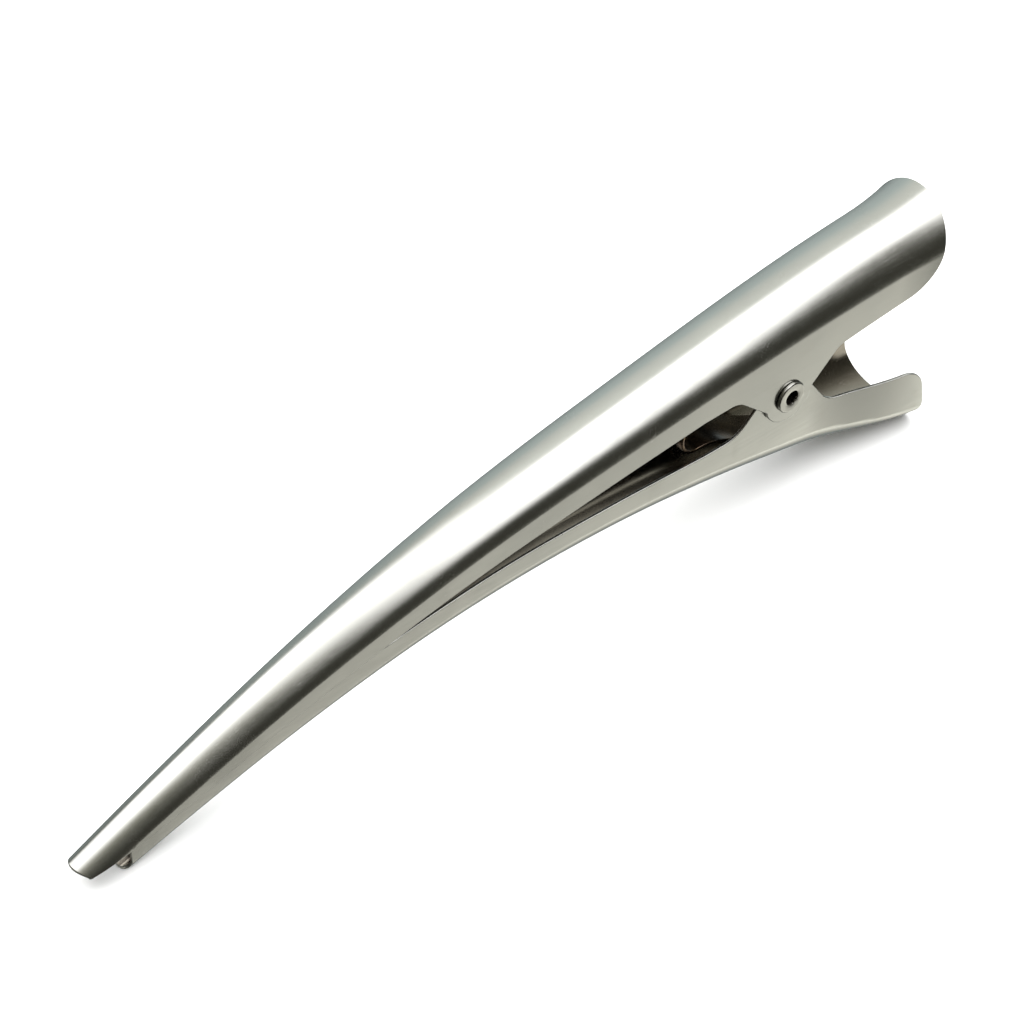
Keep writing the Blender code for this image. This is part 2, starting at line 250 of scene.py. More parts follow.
class NodeBench:
    """Places and wires shader nodes in one tree."""

    def __init__(self, tree: bpy.types.NodeTree) -> None:
        """Takes the tree to work on, and empties it.

        Args:
            tree: The node tree.
        """
        self.tree = tree
        tree.nodes.clear()

    def add(self, kind: str, settings: dict | None = None, **values: object) -> bpy.types.Node:
        """Adds a node.

        Args:
            kind: Its type, without the ShaderNode in front, or a full type name.
            settings: Its properties.
            **values: Its inputs, as name and value or name and output socket. An underscore
                stands for a space, and i0, i1 and i2 are inputs by number.

        Returns:
            The node.
        """
        node = self.tree.nodes.new(kind if kind.startswith("Node") else "ShaderNode" + kind)
        for name, value in (settings or {}).items():
            setattr(node, name, value)
        for name, value in values.items():
            by_number = name[0] == "i" and name[1:].isdigit()
            socket = node.inputs[int(name[1:]) if by_number else name.replace("_", " ")]
            if isinstance(value, bpy.types.NodeSocket):
                self.tree.links.new(value, socket)
            else:
                socket.default_value = value
        return node

    def math(self, operation: str, *values: object) -> bpy.types.NodeSocket:
        """Adds a Math node.

        Args:
            operation: What it does.
            *values: Its inputs, as numbers or sockets.

        Returns:
            Its output.
        """
        inputs = {f"i{k}": value for k, value in enumerate(values)}
        return self.add("Math", {"operation": operation}, **inputs).outputs[0]

    def spread(
        self, value: object, low: float, high: float, to: tuple[float, float] = (0, 1)
    ) -> bpy.types.NodeSocket:
        """Maps a range onto another one smoothly.

        Args:
            value: The socket to map.
            low: Its lower limit.
            high: Its upper limit.
            to: What the limits become.

        Returns:
            The output of the Map Range node.
        """
        node = self.add("MapRange", {"interpolation_type": "SMOOTHSTEP"}, i0=value)
        for name, number in zip(("From Min", "From Max", "To Min", "To Max"), (low, high, *to)):
            node.inputs[name].default_value = number
        return node.outputs[0]

    def ramp(
        self, value: object, stops: list[tuple[float, object]], ease: str = "LINEAR"
    ) -> bpy.types.NodeSocket:
        """Adds a Color Ramp.

        Args:
            value: The socket that drives it.
            stops: (place, grey value or colour) pairs.
            ease: How it goes from stop to stop.

        Returns:
            Its colour output.
        """
        node = self.add("ValToRGB", Fac=value)
        node.color_ramp.interpolation = ease
        elements = node.color_ramp.elements
        while len(elements) < len(stops):
            elements.new(1.0)
        for element, (place, colour) in zip(elements, stops):
            element.position = place
            grey = isinstance(colour, (int, float))
            element.color = (colour,) * 3 + (1,) if grey else (*colour, 1)
        return node.outputs[0]

    def mix(self, kind: str, factor: object, a: object, b: object) -> bpy.types.NodeSocket:
        """Adds a Mix node for colours.

        Args:
            kind: Its blend type.
            factor: How much of the second colour.
            a: The first colour.
            b: The second colour.

        Returns:
            Its colour output.
        """
        node = self.add("Mix", {"data_type": "RGBA", "blend_type": kind})
        for socket, value in ((node.inputs[0], factor), (node.inputs[6], a), (node.inputs[7], b)):
            if isinstance(value, bpy.types.NodeSocket):
                self.tree.links.new(value, socket)
            else:
                socket.default_value = value if isinstance(value, (int, float)) else (*value, 1)
        return node.outputs[2]


def effect_group(
    name: str, inputs: dict[str, tuple[str, float]], outputs: list[str]
) -> tuple[bpy.types.NodeTree, NodeBench, bpy.types.Node, bpy.types.Node]:
    """Starts a shader node group.

    Args:
        name: The group's name.
        inputs: Each input's socket type and default value.
        outputs: Its outputs, all plain numbers.

    Returns:
        The group, a bench on it, its input node and its output node.
    """
    group = bpy.data.node_groups.new(name, "ShaderNodeTree")
    bench = NodeBench(group)
    for label, (kind, value) in inputs.items():
        socket = group.interface.new_socket(label, in_out="INPUT", socket_type="NodeSocket" + kind)
        if kind == "Float":
            socket.default_value = value
    for label in outputs:
        group.interface.new_socket(label, in_out="OUTPUT", socket_type="NodeSocketFloat")
    return group, bench, bench.add("NodeGroupInput"), bench.add("NodeGroupOutput")


class Workshop:
    """The effects that all the metals share, built once."""

    def __init__(self) -> None:
        """Builds the three groups."""
        self.brushing = self.make_brushing()
        self.handling = self.make_handling()
        self.mottling = self.make_mottling()
        self.made: dict[str, bpy.types.Material] = {}

    def coat(self, piece: bpy.types.Object, finishes: "list[MetalFinish]") -> None:
        """Gives a piece its finishes in order, each of them built once.

        Args:
            piece: The piece.
            finishes: The finishes, by material number.
        """
        for finish in finishes:
            if finish.name not in self.made:
                self.made[finish.name] = finish.material(self)
            piece.data.materials.append(self.made[finish.name])

    def make_brushing(self) -> bpy.types.NodeTree:
        """Builds fine lines that run along the sheet.

        Returns:
            The group, with outputs Lines and Height.
        """
        sockets = {"Position": ("Vector", 0), "Length": ("Float", 6.0), "Width": ("Float", 0.09)}
        group, bench, start, end = effect_group("brushing_lines", sockets, ["Lines", "Height"])
        parts = bench.add("SeparateXYZ", Vector=start.outputs["Position"])
        length, width = (
            bench.math("MULTIPLY", start.outputs[size], MM) for size in ("Length", "Width")
        )
        along = bench.math("DIVIDE", parts.outputs[0], length)
        across = [bench.math("DIVIDE", parts.outputs[k], width) for k in (1, 2)]
        place = bench.add("CombineXYZ", X=along, Y=across[0], Z=across[1]).outputs[0]
        fine = bench.add("TexNoise", Vector=place, Scale=1.0, Detail=3.0, Roughness=0.6).outputs[0]
        wider = bench.add("VectorMath", {"operation": "SCALE"}, i0=place, Scale=0.17).outputs[0]
        broad = bench.add("TexNoise", Vector=wider, Scale=1.0, Detail=2.0).outputs[0]
        lines = bench.math("MULTIPLY_ADD", fine, 0.6, bench.math("MULTIPLY", broad, 0.4))
        bench.tree.links.new(bench.spread(lines, 0.32, 0.68), end.inputs["Lines"])
        bench.tree.links.new(fine, end.inputs["Height"])
        return group

    def make_handling(self) -> bpy.types.NodeTree:
        """Builds the marks of use: faint finger smears and hair-fine scratches.

        Returns:
            The group, with outputs Smears and Scratches.
        """
        sockets = {
            "Position": ("Vector", 0), "Smear Size": ("Float", 9.0), "Scratch Size": ("Float", 2.4),
        }
        group, bench, start, end = effect_group("handling_marks", sockets, ["Smears", "Scratches"])
        size = bench.math("DIVIDE", 1 / MM, start.outputs["Smear Size"])
        cloud = bench.add(
            "TexNoise", Vector=start.outputs["Position"], Scale=size, Detail=5.0, Distortion=0.8
        ).outputs[0]
        bench.tree.links.new(bench.spread(cloud, 0.48, 0.7), end.inputs["Smears"])
        scratch = bench.math("DIVIDE", 1 / MM, start.outputs["Scratch Size"])
        warped = bench.add(
            "TexNoise", Vector=start.outputs["Position"], Scale=scratch, Detail=1.0, Distortion=2.2
        ).outputs[0]
        ridge = bench.math("ABSOLUTE", bench.math("SUBTRACT", warped, 0.5))
        thin = bench.spread(ridge, 0.0, 0.006, (1, 0))
        where = bench.spread(cloud, 0.42, 0.62)
        bench.tree.links.new(bench.math("MULTIPLY", thin, where), end.inputs["Scratches"])
        return group

    def make_mottling(self) -> bpy.types.NodeTree:
        """Builds slow changes of tone with a fine grain in them.

        Returns:
            The group, with outputs Tone and Grain.
        """
        sockets = {
            "Position": ("Vector", 0), "Size": ("Float", 14.0), "Grain Size": ("Float", 0.16),
        }
        group, bench, start, end = effect_group("metal_mottling", sockets, ["Tone", "Grain"])
        for size, output, detail in (("Size", "Tone", 3.0), ("Grain Size", "Grain", 2.0)):
            scale = bench.math("DIVIDE", 1 / MM, start.outputs[size])
            noise = bench.add(
                "TexNoise", Vector=start.outputs["Position"], Scale=scale, Detail=detail
            ).outputs[0]
            bench.tree.links.new(bench.spread(noise, 0.3, 0.7), end.inputs[output])
        return group


@dataclass(frozen=True)
class MetalFinish:
    """A bare metal surface: its tones, its polish and what use has done to it."""

    name: str
    light: tuple[float, float, float]
    dark: tuple[float, float, float]
    smear: tuple[float, float, float]
    roughness: float
    line_roughness: float = 0.05
    smear_roughness: float = 0.035
    scratch_roughness: float = 0.04
    smear_share: float = 0.3
    temper_share: float = 0.85
    bump_strength: float = 0.35
    bump_depth: float = 0.01 * MM
    line_length: float = 6.0
    line_width: float = 0.09
    line_depth: float = 0.02
    grain_depth: float = 0.04
    scratch_depth: float = 0.03
    mottle_size: float = 14.0
    tempering: tuple[tuple[float, tuple[float, float, float]], ...] = ()

    def material(self, workshop: Workshop) -> bpy.types.Material:
        """Builds the finish.

        Args:
            workshop: The shared effects.

        Returns:
            The material.
        """
        material = bpy.data.materials.new(self.name)
        material.use_nodes = True
        bench = NodeBench(material.node_tree)
        place = bench.add("TexCoord").outputs["Object"]
        lines = bench.add(
            "Group", {"node_tree": workshop.brushing},
            Position=place, Length=self.line_length, Width=self.line_width,
        )
        marks = bench.add("Group", {"node_tree": workshop.handling}, Position=place)
        tones = bench.add(
            "Group", {"node_tree": workshop.mottling}, Position=place, Size=self.mottle_size
        )
        colour = bench.mix("MIX", tones.outputs["Tone"], self.dark, self.light)
        if self.tempering:
            tint = bench.ramp(tones.outputs["Tone"], list(self.tempering), "EASE")
            colour = bench.mix("MULTIPLY", self.temper_share, colour, tint)
        smears = bench.math("MULTIPLY", marks.outputs["Smears"], self.smear_share)
        colour = bench.mix("MIX", smears, colour, self.smear)
        rough = self.roughness
        for effect, amount in (
            (lines.outputs["Lines"], self.line_roughness),
            (marks.outputs["Smears"], self.smear_roughness),
            (marks.outputs["Scratches"], self.scratch_roughness),
        ):
            rough = bench.math("MULTIPLY_ADD", effect, amount, rough)
        height = bench.math("MULTIPLY", lines.outputs["Height"], self.line_depth)
        height = bench.math("MULTIPLY_ADD", tones.outputs["Grain"], self.grain_depth, height)
        depth = bench.math("MULTIPLY", marks.outputs["Scratches"], self.scratch_depth)
        height = bench.math("SUBTRACT", height, depth)
        bump = bench.add(
            "Bump", Strength=self.bump_strength, Distance=self.bump_depth, Height=height
        ).outputs[0]
        shader = bench.add(
            "BsdfPrincipled", Base_Color=colour, Metallic=1.0, Roughness=rough, Normal=bump
        )
        bench.add("OutputMaterial", Surface=shader.outputs[0])
        return material


SATIN_NICKEL = MetalFinish(
    "satin_nickel", light=(0.665, 0.66, 0.625), dark=(0.615, 0.615, 0.585),
    smear=(0.60, 0.59, 0.55), roughness=0.19,
)
# Partly real and partly painted shade: the cut edge is rougher, as sheared metal is, and is
# coloured darker than the faces so that it reads as the thin dark line that shade along the edge
# makes.
SHADED_SHEARED_EDGE = MetalFinish(
    "shaded_sheared_edge", light=(0.56, 0.56, 0.53), dark=(0.42, 0.42, 0.40), smear=(0.40, 0.39, 0.37),
    roughness=0.26, line_length=0.06, line_width=0.5, line_depth=0.3,
)
# Painted shade and painted reflection: the inside of each jaw is coloured darker and browner than
# the outer nickel, standing in for the shade in the channel and the warm things it mirrors.
SHADED_INSIDE = MetalFinish(
    "shaded_inside", light=(0.42, 0.385, 0.33), dark=(0.30, 0.27, 0.225), smear=(0.24, 0.21, 0.17),
    roughness=0.21, grain_depth=0.01,
)
# Painted shade: a near-black colour for the inside of the rivet's bore, standing in for the shade
# down the deep, narrow hole.
BORE_PAINTED_SHADE = MetalFinish(
    "bore_painted_shade", light=(0.10, 0.09, 0.075), dark=(0.05, 0.045, 0.04), smear=(0.04, 0.035, 0.03),
    roughness=0.45, line_length=0.6, mottle_size=1.0,
)
RIVET_NICKEL = MetalFinish(
    "rivet_nickel", light=(0.50, 0.495, 0.465), dark=(0.43, 0.425, 0.40),
    smear=(0.40, 0.39, 0.36), roughness=0.17, line_length=0.6, mottle_size=2.5, grain_depth=0.12,
)
TEMPERED_STEEL = MetalFinish(
    "tempered_steel", light=(0.30, 0.26, 0.22), dark=(0.15, 0.12, 0.095),
    smear=(0.18, 0.14, 0.10), roughness=0.2, mottle_size=7.0,
    tempering=(
        (0.15, (0.50, 0.33, 0.20)), (0.45, (0.85, 0.66, 0.42)), (0.7, (0.62, 0.52, 0.50)),
        (0.95, (0.45, 0.52, 0.66)),
    ),
)


@dataclass
class Stand:
    """Where the clip stands: all pieces are drawn about the rivet and then set down."""

    tilt: float = -1.3374
    pivot: Vector = field(default_factory=lambda: sum(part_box("pivot_rivet"), Vector()) / 2)

    def matrix(self) -> Matrix:
        """Returns the matrix from the rivet's frame to the scene."""
        return Matrix.Translation(self.pivot) @ Matrix.Rotation(math.radians(self.tilt), 4, "Y")


def mesh_object(
    name: str, points: np.ndarray, faces: list[tuple[int, ...]], normals: np.ndarray | None
) -> bpy.types.Object:
    """Makes a smooth mesh object. Without given normals, its faces are turned outward.

    Args:
        name: The object's name.
        points: Its points, one row each.
        faces: Its faces, as tuples of point numbers.
        normals: The surface's direction at each point, or None to leave it to the faces.

    Returns:
        The object, in the scene.
    """
    mesh = bpy.data.meshes.new(name)
    mesh.from_pydata([tuple(p) for p in points], [], faces)
    mesh.shade_smooth()
    if normals is None:
        bm = bmesh.new()
        bm.from_mesh(mesh)
        bmesh.ops.recalc_face_normals(bm, faces=bm.faces)
        bm.to_mesh(mesh)
        bm.free()
        mesh.set_sharp_from_angle(angle=SHARP)
    else:
        mesh.normals_split_custom_set_from_vertices([tuple(n) for n in unit(normals)])
    piece = bpy.data.objects.new(name, mesh)
    bpy.context.scene.collection.objects.link(piece)
    return piece


@dataclass
class PressedJaw:
    """A jaw as a flat blank that is bent along its length.

    A place on the blank is (x, s): x along the clip, and s round the section from its middle
    line. The sheet's outer face is at depth 0 and its inner face at the sheet's thickness.
    """

    sheet: float = 0.4 * MM
    nest_gap: float = 0.15 * MM
    edge_round: float = 0.10 * MM
    end_flare: float = 0.0
    shaded_flare: float = 0.35
    hole: float = 1.54 * MM
    rim_step: float = 0.5 * MM
    net_step: float = 0.8 * MM
    net_clearance: float = 0.35
    round_rows: int = 17
    tallest_wall: float = 20 * MM
    nose_steps: int = 46
    end_steps: int = 31
    edge_steps: int = 180
    least_step: float = 0.05 * MM
    end_room: float = 0.2 * MM
    facing: int = 1
    half_widths: Curve = Curve((
        (-107, 2.15), (-85, 2.85), (-54, 3.95), (-12, 5.15), (17, 5.85), (28, 6.05),
    ))

    def bend_at(self, x: np.ndarray) -> np.ndarray:
        """Returns the height of the line where the round part meets the straight walls."""
        raise NotImplementedError

    def round_length(self, x: np.ndarray) -> np.ndarray:
        """Returns how far round the blank each wall starts."""
        raise NotImplementedError

    def section(self, x: np.ndarray, s: np.ndarray, depth: float) -> tuple[np.ndarray, np.ndarray]:
        """Bends the blank: (x, |s|) to the distance from the middle plane and the height."""
        raise NotImplementedError

    def half_outline(self) -> np.ndarray:
        """Returns half of the blank's outline as (x, s) points, from the tip to the end."""
        raise NotImplementedError

    def place(self, blank: np.ndarray, depth: float) -> np.ndarray:
        """Bends points of the blank into shape.

        Args:
            blank: (x, s) points.
            depth: How far they lie under the outer face.

        Returns:
            The points in space, one row each.
        """
        x, s = blank[:, 0], blank[:, 1]
        across, height = self.section(x, np.abs(s), depth)
        return np.stack([x, np.sign(s) * across, height], 1)

    def outward(self, blank: np.ndarray, depth: float) -> np.ndarray:
        """Finds the outer face's direction.

        Args:
            blank: (x, s) points.
            depth: How far they lie under the outer face.

        Returns:
            A unit vector at each point.
        """
        along, round_ = (
            self.place(blank + step, depth) - self.place(blank - step, depth)
            for step in (np.array([PROBE, 0.0]), np.array([0.0, PROBE]))
        )
        return unit(np.cross(along, round_)) * self.facing

    def loops(self) -> list[np.ndarray]:
        """Draws the blank's outline and its two rivet holes, with the sheet on the left.

        Returns:
            The three loops.
        """
        half = self.half_outline()
        whole = np.concatenate([half, (half * [1, -1])[::-1][1:-1]])
        whole = evenly(whole, self.rim_step)
        turn = np.roll(whole, -1, axis=0)
        if np.sum(whole[:, 0] * turn[:, 1] - turn[:, 0] * whole[:, 1]) < 0:
            whole = whole[::-1]
        ring = arc((0, 0), self.hole, 360, 0)[:-1]
        wall = self.wall_place(ring)
        return [whole, wall, (wall * [1, -1])[::-1]]

    def wall_place(self, side_view: np.ndarray) -> np.ndarray:
        """Finds places on the blank from a side view of the bent jaw.

        Args:
            side_view: (x, height) points on the wall at positive y.

        Returns:
            The (x, s) points.
        """
        x, z = side_view.T
        s = self.round_length(x) + (self.bend_at(x) - z) * self.facing
        return np.stack([x, s], 1)

    def net(self, loops: list[np.ndarray]) -> np.ndarray:
        """Lays the inner points of the blank's net.

        Args:
            loops: The outlines that bound the net.

        Returns:
            (x, s) points that keep clear of the outlines.
        """
        outline = loops[0]
        xs = np.arange(outline[:, 0].min(), outline[:, 0].max(), self.net_step)
        shares = np.linspace(0, 1, self.round_rows)
        walls = np.arange(self.net_step, self.tallest_wall, self.net_step)
        rows = []
        for x in xs:
            bend = float(self.round_length(np.array([x]))[0])
            right = np.concatenate([shares * bend, bend + walls])
            s = np.concatenate([-right[:0:-1], right])
            rows.append(np.stack([np.full(len(s), x), s], 1))
        points = np.concatenate(rows)
        points = points[inside(points, loops)]
        rims = np.concatenate(loops)
        near = np.full(len(points), np.inf)
        for rim in rims:
            np.minimum(near, ((points - rim) ** 2).sum(1), out=near)
        return points[near > (self.net_clearance * self.rim_step) ** 2]

    def rim_profile(self) -> list[tuple[float, float, float]]:
        """Draws the rounded edge of the sheet.

        Returns:
            (distance in from the outline, depth, angle of the surface) for each step.
        """
        r, profile = self.edge_round, []
        for angle in EDGE_TURNS:
            a = math.radians(angle)
            profile.append((r * (1 - math.sin(a)), r * (1 - math.cos(a)), a))
        return profile + [(e, self.sheet - d, math.pi - a) for e, d, a in profile[::-1]]

    def build(self, name: str) -> bpy.types.Object:
        """Makes the bent sheet.

        Args:
            name: The piece's name.

        Returns:
            The piece. Its faces on the rim carry material number 1, and those inside number 2.
        """
        loops = self.loops()
        ways = [inward(loop) for loop in loops]
        profile = self.rim_profile()
        base = [loop + way * self.edge_round for loop, way in zip(loops, ways)]
        inner = self.net(base)
        rim = np.concatenate(base)
        triangles = self.fill(base, inner)
        shading = replace(self, end_flare=self.end_flare * self.shaded_flare)
        points, normals, faces = [], [], []
        for e, depth, angle in profile:
            blank = np.concatenate([loop + way * e for loop, way in zip(loops, ways)])
            here = self.place(blank, depth)
            outer = shading.outward(rim, depth)
            off = unit(here - self.place(blank + np.concatenate(ways) * PROBE, depth))
            points.append(here)
            normals.append(outer * math.cos(angle) + off * math.sin(angle))
        for depth, side in ((0.0, 1), (self.sheet, -1)):
            points.append(self.place(inner, depth))
            normals.append(shading.outward(inner, depth) * side)
        count, levels = len(rim), len(profile)
        for face_side in (0, 1):
            first = 0 if face_side == 0 else (levels - 1) * count
            nets = levels * count + face_side * len(inner)
            number = np.concatenate([first + np.arange(count), nets + np.arange(len(inner))])
            turned = triangles if (self.facing > 0) == (face_side == 0) else triangles[:, ::-1]
            faces += [tuple(int(number[i]) for i in t) for t in turned]
        flat_faces = len(faces)
        start = 0
        for loop in loops:
            for i in range(len(loop)):
                j = (i + 1) % len(loop)
                for level in range(levels - 1):
                    a, b = level * count + start, (level + 1) * count + start
                    quad = (a + i, b + i, b + j, a + j)
                    faces.append(quad if self.facing > 0 else quad[::-1])
            start += len(loop)
        piece = mesh_object(name, np.concatenate(points), faces, np.concatenate(normals))
        # Painted shade: the inner faces take the darker, browner shaded-inside colour.
        for face in piece.data.polygons[len(triangles):flat_faces]:
            face.material_index = 2
        # Partly painted shade: the rim faces take the darker cut-edge colour.
        for face in piece.data.polygons[flat_faces:]:
            face.material_index = 1
        return piece

    def dress(self, piece: bpy.types.Object, workshop: Workshop) -> None:
        """Gives the sheet its nickel, its cut edge darkened partly with painted shade, and its
        inside darkened with painted shade.
        """
        workshop.coat(piece, [SATIN_NICKEL, SHADED_SHEARED_EDGE, SHADED_INSIDE])

    def fill(self, base: list[np.ndarray], inner: np.ndarray) -> np.ndarray:
        """Joins the rim and the net's inner points with triangles.

        Args:
            base: The loops where the rounded edge starts.
            inner: The net's inner points.

        Returns:
            Triangles as point numbers, rim first, all turned the same way.
        """
        every = np.concatenate([*base, inner])
        edges, start = [], 0
        for loop in base:
            n = len(loop)
            edges += [(start + i, start + (i + 1) % n) for i in range(n)]
            start += n
        found = geometry.delaunay_2d_cdt([Vector(p / MM) for p in every], edges, [], 0, 1e-5)
        origin = np.array([ids[0] if ids else -1 for ids in found[3]])
        triangles = origin[np.array(found[2])]
        triangles = triangles[(triangles >= 0).all(axis=1)]
        a, b, c = (every[triangles[:, k]] for k in range(3))
        triangles = triangles[inside((a + b + c) / 3, base)]
        a, b, c = (every[triangles[:, k]] for k in range(3))
        turn = (b - a)[:, 0] * (c - a)[:, 1] - (b - a)[:, 1] * (c - a)[:, 0]
        triangles[turn < 0] = triangles[turn < 0][:, ::-1]
        return triangles


@dataclass
class UpperJaw(PressedJaw):
    """The rounded arch with a flange along each side, which ends in the upper finger pad."""

    tip: float = 106.2 * MM
    end: float = 25.7 * MM
    end_flare: float = 0.5 * MM
    flare_length: float = 7 * MM
    pad_edge: float = 3.7 * MM
    pad_edge_end: float = 5.2 * MM
    pad_corner: float = 6.0 * MM
    pad_lean: float = 0.18
    tip_fullness: float = 0.175 * MM
    tip_corner: float = 0.6 * MM
    tip_reach: float = 1.8 * MM
    tip_lead: int = 8
    bend_drop: Curve = Curve((
        (-107, 0.4), (-50, 0.4), (-20, 0.42), (0, 0.55), (15, 0.66), (28, 0.68),
    ))
    pad_fillet: float = 2.0 * MM
    front_fillet: float = 3.2 * MM
    front_start: float = -14 * MM
    lobe: float = 3.9 * MM
    front: Ear = field(default_factory=lambda: Ear(43, -3.2 * MM))
    back: Ear = field(default_factory=lambda: Ear(43, 2.9 * MM))
    bend: Curve = Curve((
        (-107, -13.7), (-93, -8.5), (-76, -2.9), (-51, 3.05), (-20, 7.0), (8, 9.4), (28, 9.9),
    ))
    edge: Curve = Curve((
        (-108, -12.8), (-102, -12.1), (-90, -9.3), (-73, -4.7), (-50, 0.0), (-30, 2.4), (-14, 3.85),
    ))

    def half_width(self, x: np.ndarray) -> np.ndarray:
        """Returns half of the outer width."""
        into_flare = np.maximum(0, 1 - (self.end - x) / self.flare_length)
        return self.half_widths.at(x) + self.end_flare * into_flare**2

    def bend_at(self, x: np.ndarray) -> np.ndarray:
        """Returns the height of the line where the arch meets the flanges."""
        return self.bend.at(x) - self.bend_drop.at(x)

    def rise(self, x: np.ndarray) -> np.ndarray:
        """Returns the arch's height over the bend line."""
        return self.half_width(x) + self.bend_drop.at(x)

    def per_turn(self, x: np.ndarray) -> np.ndarray:
        """Returns the mean radius of the arch."""
        return self.half_width(x) + self.bend_drop.at(x) / 2

    def round_length(self, x: np.ndarray) -> np.ndarray:
        """Returns the length of a quarter of the arch."""
        return self.per_turn(x) * math.pi / 2

    def section(self, x: np.ndarray, s: np.ndarray, depth: float) -> tuple[np.ndarray, np.ndarray]:
        """Bends the blank over the arch and down the flanges.

        Args:
            x: Places along the clip.
            s: Distances round the section from the ridge.
            depth: How far under the outer face.

        Returns:
            Distances from the middle plane, and heights.
        """
        width, bend = self.half_width(x), self.bend_at(x)
        turn = np.minimum(s / self.per_turn(x), math.pi / 2)
        down = np.maximum(s - self.round_length(x), 0)
        return (width - depth) * np.sin(turn), bend + (self.rise(x) - depth) * np.cos(turn) - down

    def blank_at_height(self, x: np.ndarray, z: np.ndarray) -> np.ndarray:
        """Finds s from a height, on the arch as well as on the flange.

        Args:
            x: Places along the clip.
            z: Heights.

        Returns:
            Distances round the section.
        """
        over = z - self.bend_at(x)
        on_arch = self.per_turn(x) * np.arccos(np.clip(over / self.rise(x), -1, 1))
        return np.where(over > 0, on_arch, self.round_length(x) - over)

    def nose(self) -> np.ndarray:
        """Draws the rounded tip from the ridge to the flange's edge.

        Returns:
            (x, s) points.
        """
        turns = np.radians(np.linspace(0, 90, self.nose_steps))
        width = float(self.half_width(np.array([-self.tip]))[0])
        across, radius = width * np.sin(turns), width + self.tip_fullness
        x = radius - self.tip - np.sqrt(radius**2 - across**2)
        s = self.per_turn(x) * turns
        low = self.blank_at_height(x, self.edge.at(x))
        kept = s < low - self.least_step
        corner_x = x[kept][-1]
        corner = self.blank_at_height(np.array([corner_x]), self.edge.at(np.array([corner_x])))
        line = np.stack([x, s], 1)[kept]
        on = np.array([corner_x + self.tip_reach])
        after = (on[0], float(self.blank_at_height(on, self.edge.at(on))[0]))
        turn = rounded(line[-self.tip_lead], (corner_x, corner[0]), after, self.tip_corner)
        return np.concatenate([line[line[:, 1] < turn[0, 1] - self.least_step], turn])

    def pad_end(self) -> np.ndarray:
        """Draws the pad's end from the bend line up to the ridge.

        Returns:
            (x, s) points.
        """
        turns = np.radians(np.linspace(90, 0, self.end_steps))
        x = np.full(len(turns), self.end)
        level = self.bend.at(np.array([self.end]))[0]
        for _ in range(4):
            z = self.bend_at(x) + self.rise(x) * np.cos(turns)
            x = self.end + self.pad_lean * (z - level)
        return np.stack([x, self.per_turn(x) * turns], 1)

    def half_outline(self) -> np.ndarray:
        """Draws half of the blank: tip, flange edge, ear, pad.

        Returns:
            (x, s) points.
        """
        nose, gap = self.nose(), self.rim_step
        run = np.linspace(nose[-1, 0] + gap, self.front_start - gap, self.edge_steps)
        flange = np.stack([run, self.blank_at_height(run, self.edge.at(run))], 1)
        level = float(self.edge.at(np.array([self.front_start]))[0])
        front_corner = (self.front.x_at(-1, level), level)
        back_corner = (self.back.x_at(-1, self.pad_edge), self.pad_edge)
        turns = self.front.turn(self.lobe), self.back.turn(self.lobe)
        lobe = arc((0, 0), self.lobe, -90 - turns[0], -90 + turns[1])
        end = self.pad_end()
        end_line = [(self.end - self.pad_lean * drop, self.bend.at(np.array([self.end]))[0] - drop)
                    for drop in (4.7 * MM, -2 * MM)]
        end_line[0] = (end_line[0][0], self.pad_edge_end)
        side = np.concatenate([
            rounded((self.front_start, level), front_corner, lobe[0], self.front_fillet),
            lobe,
            rounded(lobe[-1], back_corner, end_line[0], self.pad_fillet),
            rounded(back_corner, end_line[0], end_line[1], self.pad_corner),
        ])
        s = self.blank_at_height(side[:, 0], side[:, 1])
        ear = np.stack([side[:, 0], s], 1)
        return np.concatenate([nose, flange, ear, end[end[:, 1] < ear[-1, 1] - self.end_room]])


